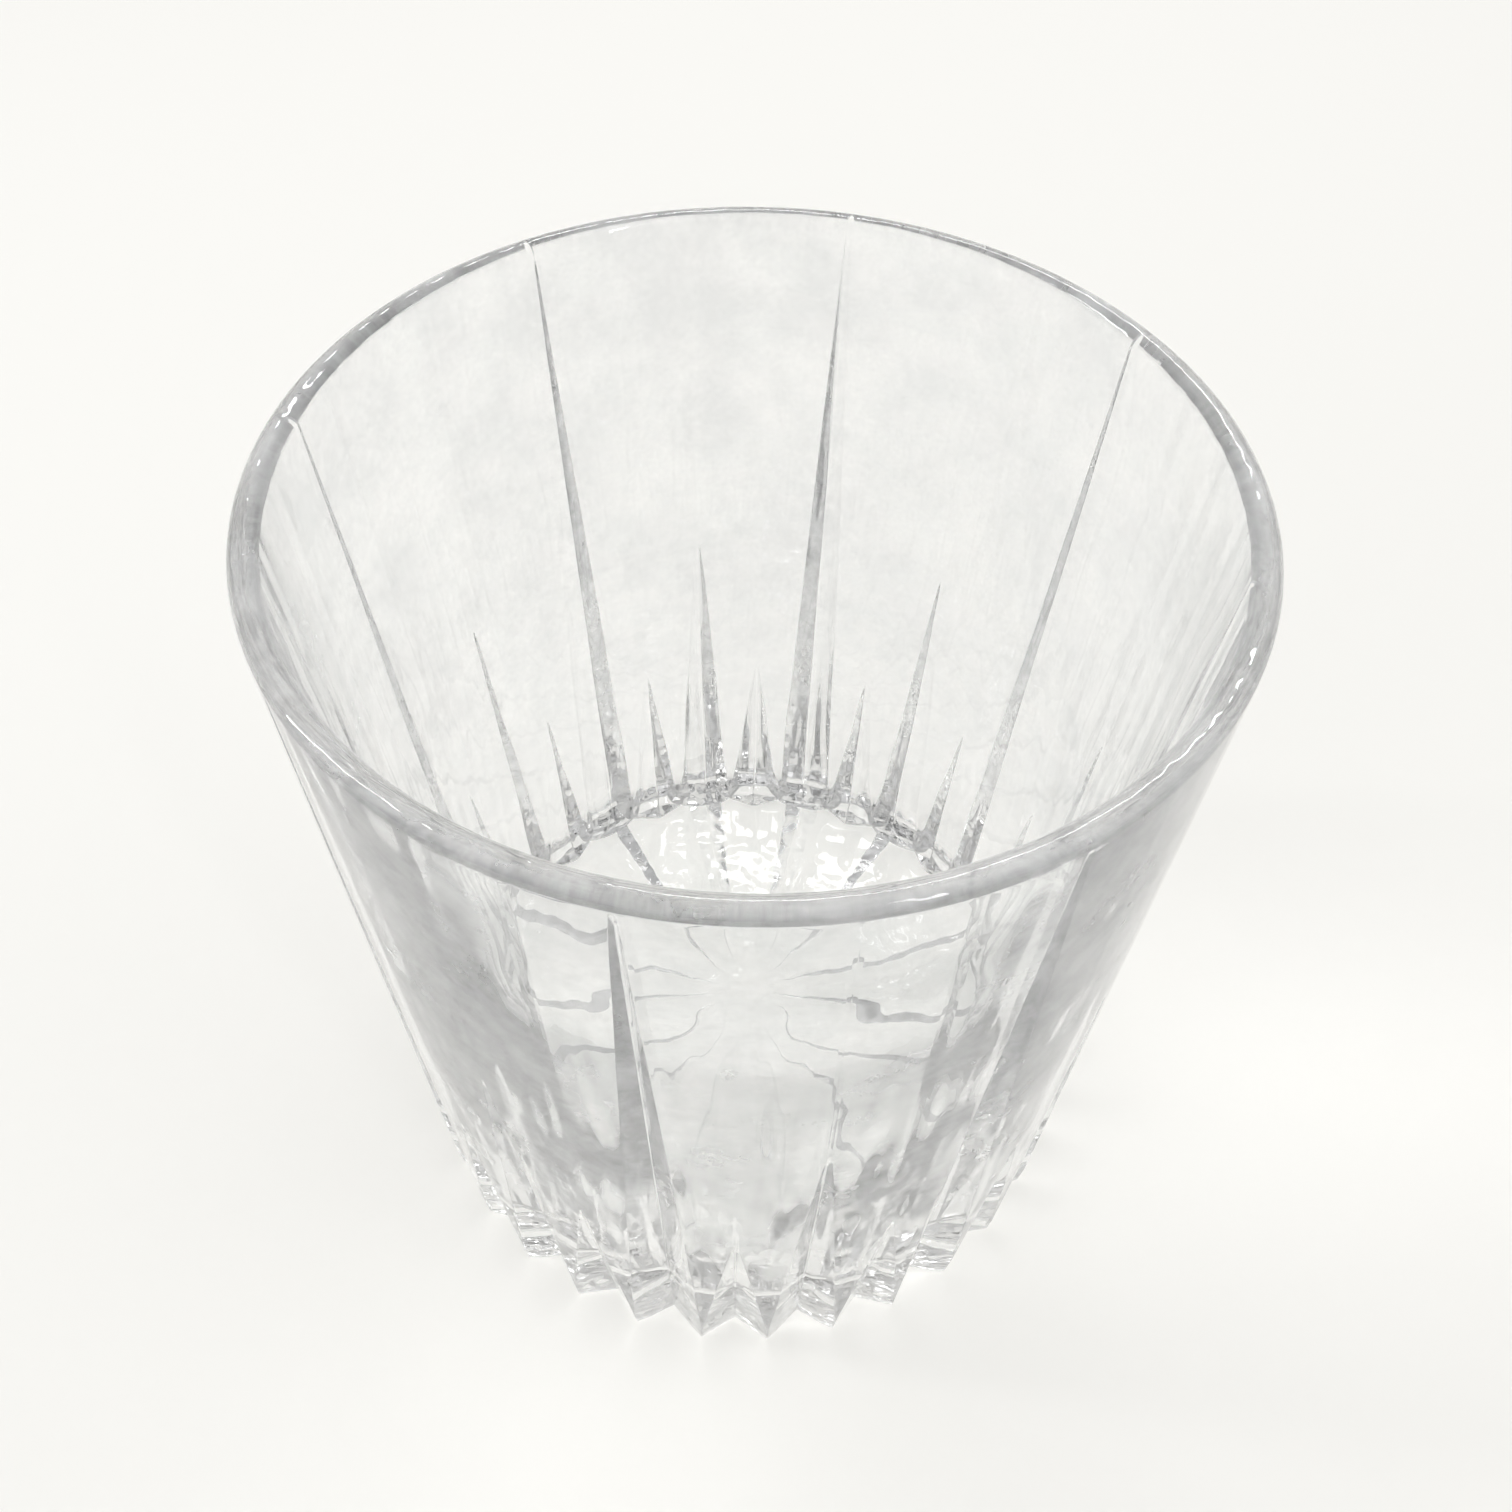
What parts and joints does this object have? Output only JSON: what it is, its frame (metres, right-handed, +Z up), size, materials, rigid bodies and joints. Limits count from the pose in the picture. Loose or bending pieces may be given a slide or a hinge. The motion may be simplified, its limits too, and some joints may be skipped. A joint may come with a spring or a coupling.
{
  "type": "whiskey tumbler",
  "caption": "Clear pressed-glass whiskey tumbler with a slightly tapered round wall, long and short V grooves rising from a ribbed foot, and a star-cut base.",
  "frame": {"origin": "centre of the base, on the plane that the tumbler stands on", "axes": "+Z up along the axis of the tumbler, towards the rim; +X passes through one of the long grooves"},
  "size_m": [0.085, 0.085, 0.094],
  "materials": {
    "clear_glass": "clear colourless pressed glass, fire polished smooth, no print and no colour"
  },
  "bodies": {
    "root": {"glass_tumbler": "clear_glass"}
  },
  "joints": []
}
